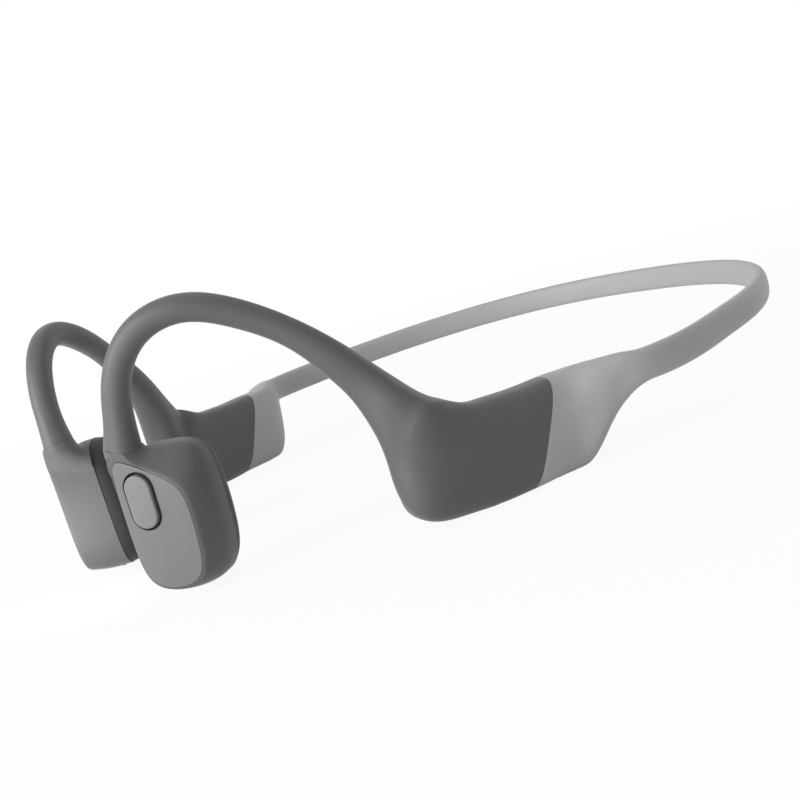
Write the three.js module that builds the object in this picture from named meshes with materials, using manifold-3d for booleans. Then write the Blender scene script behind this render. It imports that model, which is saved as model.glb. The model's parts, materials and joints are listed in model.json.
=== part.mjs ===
// Bone conduction headphones. A sprung neckband joins two pods, and an ear hook runs from each
// pod to a transducer that rests in front of the ear. Each side is modelled once, on +X.
// Millimetres, +Z up, +X the wearer's left, -Y the way the wearer faces.
import * as THREE from "three";
import { mergeVertices } from "three/addons/utils/BufferGeometryUtils.js";
import Module from "manifold-3d";

const wasm = await Module();
wasm.setup();

// Driving dimensions
const CLEARANCE = 0.3; // between two pieces that meet
const WALL = 1.1; // of pods, boots and transducer shells

const BAND_HALF_WIDTH = 50; // to the middle of the band where it is widest
const BAND_REACH = 60.2; // from the widest place to the middle of the rear arc
const BAND_WIDEST_Y = 13.2;
const BAND_SQUARENESS = 2.36; // 2 would be an ellipse
const BAND_HALF_HEIGHT = 2.3;
const BAND_HALF_THICKNESS = 1.25;
const BAND_MID_Z = 10.9;
const ARC_STATIONS = 7;

const POD_HALF_HEIGHT = 7.75;
const POD_HALF_THICKNESS = 3.95;
const POD_MID_Z = 6.65;
const POD_LEAN = 27; // degrees that the seam between boot and pod leans back
const POD_TURN = 12.7; // degrees that the pods turn in towards the front
const POD_MIDDLE = [39.62, -9];

const HOOK_HALF_HEIGHT = 1.9;
const HOOK_HALF_THICKNESS = 1.85;

const WIRE_RADIUS = 0.42; // nickel titanium spring wire
const CABLE_RADIUS = 0.32;
const CHANNEL_HALF_HEIGHT = 1.45; // holds the wire above the cable
const CHANNEL_HALF_THICKNESS = 0.78;
const WIRE_RISE = 0.56;
const CABLE_DROP = 0.62;

const TRANSDUCER_MIDDLE = [12.5, -44.6, 10.5];
const TRANSDUCER_TURN = 33.5; // degrees about Z
const TRANSDUCER_LEAN = 2.5; // degrees in its own plane, top to the rear
const TRANSDUCER_FRONT = -4.8; // edges of the outline, measured from the middle
const TRANSDUCER_REAR = 7.5;
const TRANSDUCER_HALF_HEIGHT = 10.4;
const HOUSING_DEPTH = 4.9; // from the middle out to the housing's rim
const HOUSING_TAPER = 0.16; // share of the width lost at the rim
const SEAM_DEPTH = -1.5; // where the housing meets the contact pad
const PAD_DEPTH = -5; // skin side of the contact pad
const DRIVER_ROOM_TOP = 1.2;
const FLOOR_DEPTH = 4.1; // outer face of the housing's floor
const FLOOR_THICKNESS = 1;
const PLATE_THICKNESS = 0.8;

const PLATE_FRONT = -4.4;
const PLATE_REAR = 5.4;
const PLATE_BOTTOM = -8.9;
const PLATE_TOP_FRONT = 11.2;
const PLATE_TOP_REAR = 5.2;

const KEY_MIDDLE = [-1.1, 3.9]; // multifunction button, across and up from the middle
const KEY_LENGTH = 7.4;
const KEY_WIDTH = 3.8;
const KEY_TOP = 5.6;
const KEY_FLANGE = 0.45; // how far the retaining flange spreads
const KEY_TRAVEL = 0.3;

const DRIVER_MIDDLE = [1.35, -1.6]; // across and up from the transducer's middle
const YOKE_RADIUS = 4.6;
const MAGNET_RADIUS = 2.7;
const COIL_RADIUS = 3.45;
const COIL_WALL = 0.4;

const BATTERY = { thickness: 4, length: 13.4, height: 6.2, bottom: 2.3 };
const BATTERY_BOARD = { width: 3, thickness: 0.8, height: 3.6, rise: 2.4 };
const BATTERY_FOAM = { length: 8.4, height: 2.8, rise: 1.8, slack: 0.1 };
const ANCHOR = { thickness: 3.4, length: 6, height: 2.4, middle: 9.6, along: 4.2 };
const MAIN_BOARD = { thickness: 0.8, length: 15, across: -0.6, along: -0.4 };
const SHIELD_CAN = { width: 1.3, length: 7.5, height: 4, across: 0.75, along: -2.5 };
const KEY_BOARD = { width: 3.4, length: 6.4, thickness: 0.5, bottom: 3.75, across: -0.4 };
const VOLUME_SWITCH = { width: 1.8, length: 2.2, height: 0.75 };

const VOLUME_KEY = { length: 2.5, width: 2, bottom: 0.15, across: -0.7 };
const VOLUME_KEYS_Y = { volume_up: -5.8, volume_down: -8.9 };
const CHARGE_PORT = { length: 4.8, width: 2.8, bottom: 0.25, top: 2.4, middle: -1.7 };
const CHARGE_CONTACT_RADIUS = 0.4;
const CHARGE_CONTACT_SPACING = 2;
const CHARGE_MAGNET_SIZE = 1.1;
const CHARGE_MAGNET_SPACING = 3;
const LIGHT_PIPE_RADIUS = 0.4;
const LIGHT_PIPE_BOTTOM = 0.3;
const LIGHT_PIPE_PLACE = [1.6, -5.6];
const MICROPHONE_RADIUS = 0.6;

// Triangle counts of the long swept bodies
const SIDES = 12;
const CHANNEL_SIDES = 8;
const STRAND_SIDES = 6;
const BAND_STEPS = 28;
const LONG_STEPS = 24;
const POD_STEPS = 12;

const materials = {
  sleeve: new THREE.MeshStandardMaterial({ color: 0x8b8b8b, roughness: 0.6, metalness: 0 }),
  dark: new THREE.MeshStandardMaterial({ color: 0x565656, roughness: 0.55, metalness: 0 }),
  plate: new THREE.MeshStandardMaterial({ color: 0x868686, roughness: 0.45, metalness: 0 }),
  pad: new THREE.MeshStandardMaterial({ color: 0x4a4a4a, roughness: 0.65, metalness: 0 }),
  key: new THREE.MeshStandardMaterial({ color: 0x9a9a9a, roughness: 0.45, metalness: 0 }),
  rubber: new THREE.MeshStandardMaterial({ color: 0x161616, roughness: 0.7, metalness: 0 }),
  wire: new THREE.MeshStandardMaterial({ color: 0x9c9a96, roughness: 0.35, metalness: 1 }),
  cable: new THREE.MeshStandardMaterial({ color: 0x202020, roughness: 0.6, metalness: 0 }),
  steel: new THREE.MeshStandardMaterial({ color: 0xa8a8a6, roughness: 0.35, metalness: 1 }),
  magnet: new THREE.MeshStandardMaterial({ color: 0xb9b9bb, roughness: 0.2, metalness: 1 }),
  copper: new THREE.MeshStandardMaterial({ color: 0xb87333, roughness: 0.35, metalness: 1 }),
  gold: new THREE.MeshStandardMaterial({ color: 0xd4af5a, roughness: 0.3, metalness: 1 }),
  board: new THREE.MeshStandardMaterial({ color: 0x1f4d2e, roughness: 0.5, metalness: 0 }),
  pouch: new THREE.MeshStandardMaterial({ color: 0xb4b4b0, roughness: 0.4, metalness: 0.4 }),
  foam: new THREE.MeshStandardMaterial({ color: 0x2a2a2a, roughness: 0.95, metalness: 0 }),
  lens: new THREE.MeshStandardMaterial({ color: 0xe6e6e6, roughness: 0.2, metalness: 0 }),
};

// Solids

function solidOf(geometry) {
  const bare = geometry.clone();
  bare.deleteAttribute("normal");
  bare.deleteAttribute("uv");
  const merged = mergeVertices(bare, 1e-4);
  const triVerts = new Uint32Array(merged.index.array);
  const vertProperties = merged.getAttribute("position").array;
  return new wasm.Manifold(new wasm.Mesh({ numProp: 3, vertProperties, triVerts }));
}

function geometryOf(solid) {
  const mesh = solid.getMesh();
  const geometry = new THREE.BufferGeometry();
  geometry.setAttribute("position", new THREE.BufferAttribute(mesh.vertProperties, 3));
  geometry.setIndex(new THREE.BufferAttribute(mesh.triVerts, 1));
  return geometry;
}

function cut(body, ...tools) {
  return geometryOf(tools.reduce((rest, tool) => rest.subtract(solidOf(tool)), solidOf(body)));
}

function join(...bodies) {
  return geometryOf(bodies.map(solidOf).reduce((whole, body) => whole.add(body)));
}

function box(width, length, height, x = 0, y = 0, bottom = 0) {
  return new THREE.BoxGeometry(width, length, height).translate(x, y, bottom + height / 2);
}

// The limb: one run of sections from the middle of the rear arc, through boot and pod, to the
// end of the ear hook. A station holds the section's middle, half height, half thickness,
// squareness and how far it leans back; without a lean it stands square to the run.

function arcStation(index) {
  const angle = (Math.PI / 2) * (1 - index / ARC_STATIONS);
  const across = Math.abs(Math.cos(angle)) ** (2 / BAND_SQUARENESS) * Math.sign(index);
  const back = Math.sin(angle) ** (2 / BAND_SQUARENESS);
  return {
    at: [BAND_HALF_WIDTH * across, BAND_WIDEST_Y + BAND_REACH * back, BAND_MID_Z],
    half: BAND_HALF_HEIGHT,
    thick: BAND_HALF_THICKNESS,
    square: 2.6,
    lean: 0,
  };
}

function podStation(y, z = POD_MID_Z, taller = 0, lean = POD_LEAN, thinner = 0) {
  const x = POD_MIDDLE[0] + (y - POD_MIDDLE[1]) * Math.tan(THREE.MathUtils.degToRad(POD_TURN));
  const half = POD_HALF_HEIGHT + taller;
  return { at: [x, y, z], half, thick: POD_HALF_THICKNESS - thinner, square: 3.2, lean };
}

function hookStation(at, thicker = 0) {
  const half = HOOK_HALF_HEIGHT + thicker;
  return { at, half, thick: HOOK_HALF_THICKNESS + thicker * 0.55, square: 2.2 };
}

const arc = [...Array(ARC_STATIONS + 2).keys()].map((index) => arcStation(index - 1));
const boot = [
  { at: [48.9, 10.4, 10.8], half: 2.45, thick: 1.5, square: 2.7, lean: 12 },
  { at: [46.6, 7.7, 9.5], half: 4.2, thick: 2.2, square: 2.9, lean: 20 },
  { at: [44.8, 4.9, 6.9], half: 7, thick: 3.1, square: 3.1, lean: 20 },
  { at: [43.3, 2.6, 6.4], half: 7.7, thick: 3.6, square: 3.2, lean: 22 },
];
const pod = [
  podStation(-0.2, 6.5, -0.1, 25, 0.05),
  podStation(-4, 6.6),
  podStation(-9),
  podStation(-13.2, 7, 0.05, 29),
  podStation(-16.9, 7.6, 0.25, 33),
  podStation(-19.8, 9.6, -0.1, 36, 0.15),
];
const hook = [
  { at: [36.4, -21.2, 12.8], half: 5.6, thick: 3.45, square: 3, lean: 40 },
  { at: [35.3, -22.3, 17.1], half: 3.7, thick: 3.05, square: 2.8, lean: 47 },
  { at: [33.9, -23.5, 20.6], half: 2.8, thick: 2.65, square: 2.5, lean: 57 },
  { at: [32.2, -25.3, 24.4], half: 2.4, thick: 2.35, square: 2.3 },
  hookStation([29.6, -28.7, 29.6]),
  hookStation([25.8, -33.6, 34.3]),
  hookStation([22, -38.9, 37]),
  hookStation([17.1, -44.1, 35.4]),
  hookStation([13.7, -47.3, 29.1]),
  hookStation([12.7, -47.9, 25], 0.2),
  { at: [11.7, -48.2, 21.65], half: 2.9, thick: 2.45, square: 3 },
];
const stations = [...arc, ...boot, ...pod, ...hook];
const REAR = 1; // station numbers
const SEAM = arc.length + boot.length + 1;
const CAVITY_REAR = SEAM - 2;
const CAVITY_FRONT = SEAM + 4.1;
const HOOK_ROOT = SEAM + 4.8;
const HOOK_END = stations.length - 1;

function vectors(list) {
  return list.map((values) => new THREE.Vector3(...values));
}

const limbCurve = new THREE.CatmullRomCurve3(vectors(stations.map((station) => station.at)));
const squareLeans = stations.map((station, index) => {
  const tangent = limbCurve.getTangent(index / (stations.length - 1));
  return THREE.MathUtils.radToDeg(Math.asin(tangent.z));
});
const sizeCurve = new THREE.CatmullRomCurve3(
  vectors(stations.map(({ half, thick, square }) => [half, thick, square])),
  false,
  "catmullrom",
);
const leanCurve = new THREE.CatmullRomCurve3(
  vectors(stations.map(({ lean }, index) => [lean ?? squareLeans[index], 0, 0])),
  false,
  "catmullrom",
);

// A point of a section: a and b run from -1 to 1 across its thickness and up its height.
function sectionPoint(middle, tangent, lean, half, thick, square, a, b) {
  const angle = THREE.MathUtils.degToRad(lean);
  const along = new THREE.Vector3(tangent.x, tangent.y, 0).normalize();
  const outward = new THREE.Vector3(-along.y, along.x, 0);
  const up = new THREE.Vector3(0, 0, Math.cos(angle)).addScaledVector(along, -Math.sin(angle));
  const bulge = (value) => Math.sign(value) * Math.abs(value) ** (2 / square);
  return middle
    .clone()
    .addScaledVector(outward, thick * bulge(a))
    .addScaledVector(up, half * bulge(b));
}

function limbSection(inset = 0) {
  return (station, a, b) => {
    const t = station / (stations.length - 1);
    const size = sizeCurve.getPoint(t);
    const lean = leanCurve.getPoint(t).x;
    const middle = limbCurve.getPoint(t);
    const tangent = limbCurve.getTangent(t);
    return sectionPoint(middle, tangent, lean, size.x - inset, size.y - inset, size.z, a, b);
  };
}

// A section of constant size along a curve, shifted up its own height by rise.
function curveSection(curve, half, thick, rise = 0) {
  return (t, a, b) => {
    const tangent = curve.getTangent(t);
    const lean = THREE.MathUtils.radToDeg(Math.asin(tangent.z));
    const middle = sectionPoint(curve.getPoint(t), tangent, lean, rise, 0, 2, 0, 1);
    return sectionPoint(middle, tangent, lean, half, thick, 2, a, b);
  };
}

// A cylinder bent along a run of sections.
function sweep(section, from, to, steps, sides) {
  const geometry = new THREE.CylinderGeometry(1, 1, 1, sides, steps);
  const positions = geometry.getAttribute("position");
  for (let index = 0; index < positions.count; index += 1) {
    const run = THREE.MathUtils.lerp(from, to, 0.5 - positions.getY(index));
    const point = section(run, positions.getX(index), positions.getZ(index));
    positions.setXYZ(index, point.x, point.y, point.z);
  }
  return geometry;
}

// Half of the clearance at a cut across the limb, in stations.
function cutAllowance(station) {
  const here = limbCurve.getPoint(station / (stations.length - 1));
  const next = limbCurve.getPoint((station + 0.1) / (stations.length - 1));
  return (CLEARANCE / 2 / here.distanceTo(next)) * 0.1;
}

// Routes of the spring wires and of the cables under them
const stationPoints = stations.map((station) => station.at);
const bandRoute = new THREE.CatmullRomCurve3(
  vectors([
    ...stationPoints.slice(0, arc.length + 1),
    [46.3, 7.1, 10.7],
    [43.8, 3.7, 10.5],
    [42.1, 0.6, 10.1],
    [41, -3, ANCHOR.middle],
    [40.3, -6, ANCHOR.middle],
  ]),
);
const hookRoute = new THREE.CatmullRomCurve3(
  vectors([
    [40, -7.6, ANCHOR.middle],
    [39.2, -11, ANCHOR.middle],
    [38.1, -15.5, 10.2],
    [36.4, -18.8, 12],
    ...stationPoints.slice(SEAM + 6),
    [11.35, -48.3, 18.4],
  ]),
);
const REAR_STEP = bandRoute.points[REAR].distanceTo(bandRoute.points[REAR + 1]);
const BAND_START = (REAR + CLEARANCE / 2 / REAR_STEP) / (bandRoute.points.length - 1);

// Spans along the two routes, as shares of their length
const BAND_CHANNEL = [0.03, 0.9];
const BAND_WIRE = [BAND_START, 1];
const BAND_CABLE = [BAND_START, 0.88];
const POD_CHANNEL = [0.05, 0.5];
const HOOK_CHANNEL = [0.1, 1];
const TRANSDUCER_CHANNEL = [0.9, 1];
const HOOK_WIRE = [0.01, 0.98];
const HOOK_CABLE = [0.144, 0.96]; // starts clear of the anchor

function strand(route, radius, rise, span, sides = STRAND_SIDES) {
  return sweep(curveSection(route, radius, radius, rise), ...span, LONG_STEPS, sides);
}

function channel(route, span) {
  const section = curveSection(route, CHANNEL_HALF_HEIGHT, CHANNEL_HALF_THICKNESS);
  return sweep(section, ...span, LONG_STEPS, CHANNEL_SIDES);
}

function makeNeckband() {
  const from = REAR + cutAllowance(REAR);
  const outside = sweep(limbSection(), from, SEAM - cutAllowance(SEAM), BAND_STEPS, SIDES);
  const cavity = sweep(limbSection(WALL), CAVITY_REAR, SEAM + 1, POD_STEPS, SIDES);
  return cut(outside, channel(bandRoute, BAND_CHANNEL), cavity, floorCut());
}

// The pods and boots stand on a flat strip at z = 0.
function floorCut() {
  return box(400, 400, 10, 0, 0, -10);
}

function makePodHousing() {
  const from = SEAM + cutAllowance(SEAM);
  const to = HOOK_ROOT - cutAllowance(HOOK_ROOT);
  const outside = sweep(limbSection(), from, to, POD_STEPS, SIDES);
  const cavity = sweep(limbSection(WALL), SEAM - 1, CAVITY_FRONT, POD_STEPS, SIDES);
  return cut(outside, cavity, channel(hookRoute, POD_CHANNEL), floorCut());
}

function makeEarHook() {
  const from = HOOK_ROOT + cutAllowance(HOOK_ROOT);
  const outside = sweep(limbSection(), from, HOOK_END, LONG_STEPS, SIDES);
  return cut(outside, channel(hookRoute, HOOK_CHANNEL));
}

function makeBandWire() {
  return strand(bandRoute, WIRE_RADIUS, WIRE_RISE, BAND_WIRE);
}

function makeBandCable() {
  return strand(bandRoute, CABLE_RADIUS, -CABLE_DROP, BAND_CABLE);
}

function makeHookWire() {
  return strand(hookRoute, WIRE_RADIUS, WIRE_RISE, HOOK_WIRE);
}

function makeHookCable() {
  return strand(hookRoute, CABLE_RADIUS, -CABLE_DROP, HOOK_CABLE);
}

// Pieces inside a pod, in the pod's own frame: x outward, y to the rear, z up

function podFrame() {
  const frame = new THREE.Group();
  frame.position.set(POD_MIDDLE[0], POD_MIDDLE[1], 0);
  frame.rotation.z = THREE.MathUtils.degToRad(-POD_TURN);
  frame.updateMatrix();
  return frame;
}

// The block that clamps the ends of both spring wires
function makeWireAnchor() {
  const { thickness, length, height, middle, along } = ANCHOR;
  const block = box(thickness, length, height, 0, along, middle - height / 2 + WIRE_RISE);
  const toPod = podFrame().matrix.clone().invert();
  const hole = WIRE_RADIUS + CLEARANCE;
  const bandHole = strand(bandRoute, hole, WIRE_RISE, [0.8, 1], CHANNEL_SIDES);
  const hookHole = strand(hookRoute, hole, WIRE_RISE, [0, 0.3], CHANNEL_SIDES);
  return cut(block, bandHole.applyMatrix4(toPod), hookHole.applyMatrix4(toPod));
}

function makeBattery() {
  const { thickness, length, height, bottom } = BATTERY;
  return box(thickness, length, height, 0, 0, bottom);
}

function makeBatteryBoard() {
  const { width, thickness, height, rise } = BATTERY_BOARD;
  const y = (BATTERY.length + thickness) / 2 + CLEARANCE;
  return box(width, thickness, height, 0, y, BATTERY.bottom + rise);
}

function makeBatteryFoam() {
  const { length, height, rise, slack } = BATTERY_FOAM;
  const inner = BATTERY.thickness / 2 + CLEARANCE / 2 + slack;
  const outer = POD_HALF_THICKNESS - WALL - CLEARANCE / 2 - slack / 2;
  return box(outer - inner, length, height, (inner + outer) / 2, 0, BATTERY.bottom + rise);
}

const KEY_BOARD_TOP = KEY_BOARD.bottom + KEY_BOARD.thickness;
const VOLUME_FLANGE_BOTTOM = WALL + 2 * CLEARANCE + 0.2;
const VOLUME_FLANGE_SPREAD = 0.2;
const FLANGE_THICKNESS = 0.4;

function makeMainBoard() {
  const { thickness, length, across, along } = MAIN_BOARD;
  const bottom = KEY_BOARD_TOP + CLEARANCE;
  const top = ANCHOR.middle - ANCHOR.height / 2;
  return box(thickness, length, top - bottom, across, along, bottom);
}

function makeShieldCan() {
  const { width, length, height, across, along } = SHIELD_CAN;
  return box(width, length, height, across, along, KEY_BOARD_TOP + 2 * CLEARANCE);
}

function makeKeyBoard() {
  const { width, length, thickness, bottom, across } = KEY_BOARD;
  const along = (VOLUME_KEYS_Y.volume_up + VOLUME_KEYS_Y.volume_down) / 2;
  return box(width, length, thickness, across, along, bottom);
}

function makeVolumeSwitch(y) {
  const { width, length, height } = VOLUME_SWITCH;
  return box(width, length, height, VOLUME_KEY.across, y, KEY_BOARD.bottom - CLEARANCE - height);
}

function makeVolumeKey(y) {
  const { length, width, bottom, across } = VOLUME_KEY;
  const spread = 2 * VOLUME_FLANGE_SPREAD;
  const middle = VOLUME_FLANGE_BOTTOM + FLANGE_THICKNESS / 2;
  const top = VOLUME_FLANGE_BOTTOM + FLANGE_THICKNESS;
  const cap = pillar(width, length, bottom, middle, across, y);
  const flange = pillar(width + spread, length + spread, VOLUME_FLANGE_BOTTOM, top, across, y);
  return join(cap, flange);
}

// A stadium-shaped column, long along y
function pillar(width, length, bottom, top, x, y) {
  const column = new THREE.ExtrudeGeometry(pill(width, length), {
    depth: top - bottom,
    bevelEnabled: false,
    curveSegments: 5,
  });
  return column.translate(x, y, bottom);
}

function pill(width, length, x = 0, y = 0) {
  const radius = width / 2;
  const straight = length / 2 - radius;
  const shape = new THREE.Shape();
  shape.absarc(x, y + straight, radius, 0, Math.PI, false);
  shape.absarc(x, y - straight, radius, Math.PI, 2 * Math.PI, false);
  return shape;
}

function makeChargePort() {
  const { length, width, bottom, top, middle } = CHARGE_PORT;
  const insert = pillar(width, length, bottom, top, 0, middle);
  const holes = [-1, 1].map((way) =>
    contactPin(way, CHARGE_CONTACT_RADIUS + CLEARANCE, bottom - 1, top + 1),
  );
  return cut(insert, ...holes);
}

function contactPin(way, radius, bottom, top) {
  const pin = new THREE.CylinderGeometry(radius, radius, top - bottom, 12);
  const y = CHARGE_PORT.middle + (way * CHARGE_CONTACT_SPACING) / 2;
  return pin.rotateX(Math.PI / 2).translate(0, y, (bottom + top) / 2);
}

function makeChargeMagnet(way) {
  const y = CHARGE_PORT.middle + (way * CHARGE_MAGNET_SPACING) / 2;
  return box(1.6, CHARGE_MAGNET_SIZE, CHARGE_MAGNET_SIZE, 0, y, CHARGE_PORT.top + CLEARANCE);
}

function lightPipe(radius, bottom, top) {
  const pipe = new THREE.CylinderGeometry(radius, radius, top - bottom, 12);
  return pipe.rotateX(Math.PI / 2).translate(...LIGHT_PIPE_PLACE, (bottom + top) / 2);
}

function makeRightPodHousing() {
  const toLimb = podFrame().matrix;
  const gap = 2 * CLEARANCE;
  const keyHoles = Object.values(VOLUME_KEYS_Y).map((y) =>
    pillar(VOLUME_KEY.width + gap, VOLUME_KEY.length + gap, -1, 2, VOLUME_KEY.across, y),
  );
  const { length, width, middle } = CHARGE_PORT;
  const portHole = pillar(width + gap, length + gap, -1, CHARGE_PORT.top, 0, middle);
  const pipeHole = lightPipe(LIGHT_PIPE_RADIUS + CLEARANCE, -1, KEY_BOARD.bottom);
  const tools = [...keyHoles, portHole, pipeHole].map((tool) => tool.applyMatrix4(toLimb));
  return cut(makePodHousing(), ...tools);
}

// Transducer, in its own frame: x to its rear edge, -y outward to the face plate, z up

function transducerFrame() {
  const frame = new THREE.Group();
  frame.position.set(...TRANSDUCER_MIDDLE);
  frame.rotation.order = "ZYX";
  frame.rotation.z = THREE.MathUtils.degToRad(TRANSDUCER_TURN);
  frame.rotation.y = THREE.MathUtils.degToRad(TRANSDUCER_LEAN);
  frame.updateMatrix();
  return frame;
}

// An outline with rounded corners. Corners run anticlockwise as [x, z, radius].
function roundedOutline(corners) {
  const shape = new THREE.Shape();
  corners.forEach(([x, z, radius], index) => {
    const corner = new THREE.Vector2(x, z);
    const [beforeX, beforeZ] = corners[(index + corners.length - 1) % corners.length];
    const [afterX, afterZ] = corners[(index + 1) % corners.length];
    const start = new THREE.Vector2(beforeX, beforeZ).sub(corner).setLength(radius).add(corner);
    const end = new THREE.Vector2(afterX, afterZ).sub(corner).setLength(radius).add(corner);
    if (index === 0) shape.moveTo(start.x, start.y);
    else shape.lineTo(start.x, start.y);
    shape.quadraticCurveTo(corner.x, corner.y, end.x, end.y);
  });
  shape.closePath();
  return shape;
}

function padOutline(inset = 0) {
  const front = TRANSDUCER_FRONT + inset;
  const rear = TRANSDUCER_REAR - inset;
  const half = TRANSDUCER_HALF_HEIGHT - inset;
  return roundedOutline([
    [front, -half, 4.6 - inset / 2],
    [rear, -half, 5.2 - inset / 2],
    [rear, half, 5 - inset / 2],
    [front, half, 2.2 - inset / 2],
  ]);
}

function plateOutline(inset = 0) {
  const slope = (PLATE_TOP_FRONT - PLATE_TOP_REAR) / (PLATE_REAR - PLATE_FRONT);
  const drop = inset * Math.hypot(1, slope);
  return roundedOutline([
    [PLATE_FRONT + inset, PLATE_BOTTOM + inset, 4 - inset / 2],
    [PLATE_REAR - inset, PLATE_BOTTOM + inset, 4.2 - inset / 2],
    [PLATE_REAR - inset, PLATE_TOP_REAR + inset * slope - drop, 2.6 - inset / 2],
    [PLATE_FRONT + inset, PLATE_TOP_FRONT - inset * slope - drop, 2.2 - inset / 2],
  ]);
}

// An outline extruded between two depths, measured outward from the transducer's middle
function slab(outline, inner, outer, steps = 1) {
  const geometry = new THREE.ExtrudeGeometry(outline, {
    depth: outer - inner,
    bevelEnabled: false,
    curveSegments: 4,
    steps,
  });
  return geometry.rotateX(Math.PI / 2).translate(0, -inner, 0);
}

// Narrows a slab towards depth end, more and more quickly, about its front lower corner.
function narrowed(geometry, start, end, share) {
  const positions = geometry.getAttribute("position");
  for (let index = 0; index < positions.count; index += 1) {
    const depth = -positions.getY(index);
    const progress = THREE.MathUtils.clamp((depth - start) / (end - start), 0, 1);
    const scale = 1 - share * progress * progress;
    const x = TRANSDUCER_FRONT + (positions.getX(index) - TRANSDUCER_FRONT) * scale;
    positions.setX(index, x);
    positions.setZ(index, positions.getZ(index) * (1 - (share / 3) * progress * progress));
  }
  return geometry;
}

function keyOutline(spread) {
  return pill(KEY_WIDTH + 2 * spread, KEY_LENGTH + 2 * spread, ...KEY_MIDDLE);
}

function makeTransducerHousing(hasKey) {
  const block = slab(padOutline(), SEAM_DEPTH, HOUSING_DEPTH, 5);
  const shell = narrowed(block, 0, HOUSING_DEPTH, HOUSING_TAPER);
  const floorInside = FLOOR_DEPTH - FLOOR_THICKNESS;
  const driverRoom = slab(padOutline(WALL), SEAM_DEPTH - 1, DRIVER_ROOM_TOP);
  const boardRoom = slab(plateOutline(WALL / 2), DRIVER_ROOM_TOP - 0.2, floorInside);
  const plateSeat = slab(plateOutline(-CLEARANCE), FLOOR_DEPTH, HOUSING_DEPTH + 1);
  const toTransducer = transducerFrame().matrix.clone().invert();
  const inlet = channel(hookRoute, TRANSDUCER_CHANNEL).applyMatrix4(toTransducer);
  const tools = [driverRoom, boardRoom, plateSeat, inlet];
  if (hasKey) tools.push(slab(keyOutline(CLEARANCE), 1, HOUSING_DEPTH + 1));
  else tools.push(microphonePort(MICROPHONE_RADIUS, -WALL - 2, 1));
  return cut(shell, ...tools);
}

const GASKET_WIDTH = 0.35;

function makeFacePlate(hasKey) {
  const inner = FLOOR_DEPTH + CLEARANCE;
  const plate = slab(plateOutline(), inner, inner + PLATE_THICKNESS);
  if (!hasKey) return plate;
  return cut(plate, slab(keyOutline(2 * CLEARANCE + GASKET_WIDTH), inner - 1, inner + 2));
}

function makeKeyGasket() {
  const inner = FLOOR_DEPTH + CLEARANCE;
  const ring = slab(keyOutline(CLEARANCE + GASKET_WIDTH), inner, inner + PLATE_THICKNESS - 0.2);
  return cut(ring, slab(keyOutline(CLEARANCE), inner - 1, inner + 2));
}

const KEY_FLANGE_DEPTH = FLOOR_DEPTH - FLOOR_THICKNESS - CLEARANCE; // outer face of the flange

function makeKey() {
  const cap = slab(keyOutline(0), KEY_FLANGE_DEPTH - 0.1, KEY_TOP);
  const flangeInner = KEY_FLANGE_DEPTH - FLANGE_THICKNESS;
  const flange = slab(keyOutline(KEY_FLANGE), flangeInner, KEY_FLANGE_DEPTH);
  return join(cap, flange);
}

function makeKeyCircuit() {
  const domeTop = KEY_FLANGE_DEPTH - FLANGE_THICKNESS - KEY_TRAVEL - 0.05;
  const boardTop = domeTop - 0.25;
  const board = slab(pill(4.4, 7.6, ...KEY_MIDDLE), boardTop - 0.4, boardTop);
  const dome = slab(pill(2.6, 2.8, ...KEY_MIDDLE), boardTop - 0.1, domeTop);
  return join(board, dome);
}

function makeContactPad() {
  const inner = SEAM_DEPTH - CLEARANCE;
  const cap = slab(padOutline(), PAD_DEPTH, inner, 3);
  const positions = cap.getAttribute("position");
  for (let index = 0; index < positions.count; index += 1) {
    const progress = (inner + positions.getY(index)) / (inner - PAD_DEPTH);
    const scale = 1 - 0.14 * progress ** 3;
    const middle = (TRANSDUCER_FRONT + TRANSDUCER_REAR) / 2;
    positions.setX(index, middle + (positions.getX(index) - middle) * scale);
    positions.setZ(index, positions.getZ(index) * (1 - 0.09 * progress ** 3));
  }
  return cut(cap, slab(padOutline(WALL + 0.4), PAD_DEPTH + WALL, inner + 1));
}

// Driver stack, turned about an axis through the driver's middle

function turned(points) {
  const profile = points.map(([radius, depth]) => new THREE.Vector2(radius, -depth));
  return new THREE.LatheGeometry(profile, 20).translate(DRIVER_MIDDLE[0], 0, DRIVER_MIDDLE[1]);
}

function disc(radius, inner, outer) {
  return turned([
    [0, outer],
    [radius, outer],
    [radius, inner],
    [0, inner],
  ]);
}

const YOKE_TOP = 0.75;
const YOKE_FLOOR = 0.7;
const YOKE_HEIGHT = 2.6;
const YOKE_WALL = 0.65;
const MAGNET_HEIGHT = 1.1;
const POLE_HEIGHT = 0.5;

function makeYoke() {
  const floor = YOKE_TOP - YOKE_FLOOR;
  const rim = YOKE_TOP - YOKE_HEIGHT;
  const cup = disc(YOKE_RADIUS, rim, YOKE_TOP);
  return cut(cup, disc(YOKE_RADIUS - YOKE_WALL, rim - 1, floor));
}

function makeMagnet() {
  const outer = YOKE_TOP - YOKE_FLOOR - CLEARANCE;
  return disc(MAGNET_RADIUS, outer - MAGNET_HEIGHT, outer);
}

function makePolePlate() {
  const outer = YOKE_TOP - YOKE_FLOOR - 2 * CLEARANCE - MAGNET_HEIGHT;
  return disc(MAGNET_RADIUS, outer - POLE_HEIGHT, outer);
}

const SPRING_DEPTH = YOKE_TOP - YOKE_HEIGHT - CLEARANCE; // face of the spring towards the yoke

function makeVoiceCoil() {
  const inner = SPRING_DEPTH + CLEARANCE;
  const ring = disc(COIL_RADIUS, inner, inner + 1.5);
  return cut(ring, disc(COIL_RADIUS - COIL_WALL, inner - 1, inner + 3));
}

const SPRING_THICKNESS = 0.25;
const BRACKET_THICKNESS = 0.5;

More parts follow.
